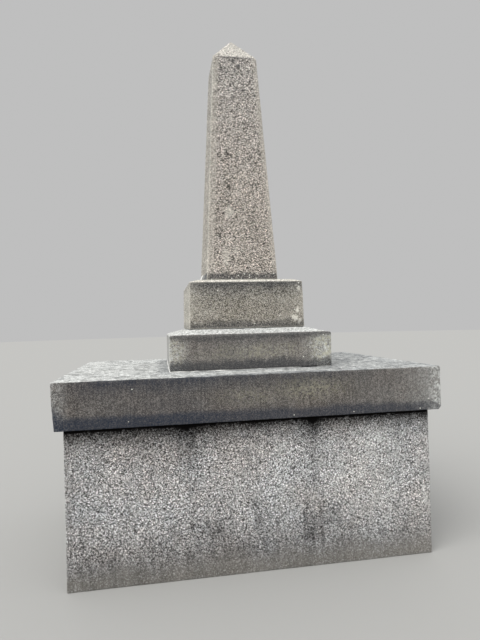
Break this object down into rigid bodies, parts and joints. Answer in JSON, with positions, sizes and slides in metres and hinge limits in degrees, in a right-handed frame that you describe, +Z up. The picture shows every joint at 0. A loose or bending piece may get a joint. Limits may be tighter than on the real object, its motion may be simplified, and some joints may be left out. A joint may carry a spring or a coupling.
{
  "type": "granite obelisk monument on a chest base",
  "caption": "Weathered granite obelisk with a low pyramidion, standing on a die and a washed plinth above an overhanging cap slab and a slab-built chest.",
  "frame": {"origin": "centre of the chest's footprint at ground level", "axes": "+Z up, -Y out of the front face, +X to the right of a viewer who faces the front"},
  "size_m": [2.34, 1.58, 3.639],
  "materials": {
    "granite_chest": "bush-hammered grey granite, weathered",
    "granite_cap": "dark weathered granite, pale on top",
    "granite_plinth": "grey granite with lichen",
    "granite_die": "grey granite, fine-axed",
    "granite_shaft": "pinkish grey granite, rough and pitted",
    "mortar": "pale lime mortar"
  },
  "bodies": {
    "root": {"front_slab": "granite_chest", "back_slab": "granite_chest", "left_end_slab": "granite_chest", "right_end_slab": "granite_chest", "front_left_joint": "mortar", "front_right_joint": "mortar", "back_left_joint": "mortar", "back_right_joint": "mortar", "front_cap_bed": "mortar", "back_cap_bed": "mortar", "left_cap_bed": "mortar", "right_cap_bed": "mortar", "cap_slab": "granite_cap", "plinth_bed": "mortar", "plinth_stone": "granite_plinth", "die_bed": "mortar", "die_stone": "granite_die", "shaft_bed": "mortar", "obelisk_shaft": "granite_shaft"}
  },
  "joints": []
}
